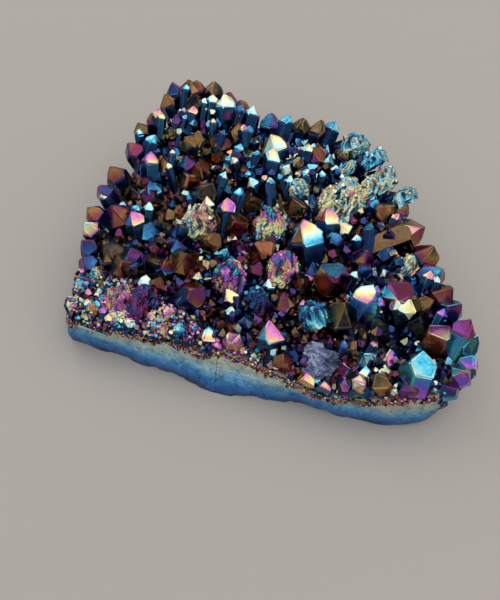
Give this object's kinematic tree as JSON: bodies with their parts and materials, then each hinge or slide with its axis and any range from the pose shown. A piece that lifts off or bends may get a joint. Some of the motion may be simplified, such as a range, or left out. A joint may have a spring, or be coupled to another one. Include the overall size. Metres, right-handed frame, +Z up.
{
  "type": "aura quartz cluster",
  "caption": "Slab of matrix with one flat front wall, covered in metal-coated quartz crystals with rainbow interference colours, resting on a flat underside.",
  "frame": {"origin": "middle of the flat underside, on the surface that the cluster rests on", "axes": "+X along the flat front wall to the right, -Y out of that wall, +Z up out of the underside"},
  "size_m": [0.0987, 0.0854, 0.024],
  "materials": {
    "aura_quartz": "quartz with a thin metallic coat: dark blue and black gaps, faces in gold, magenta, violet, blue, cyan and pale silver"
  },
  "bodies": {
    "root": {"aura_quartz_cluster": "aura_quartz"}
  },
  "joints": []
}
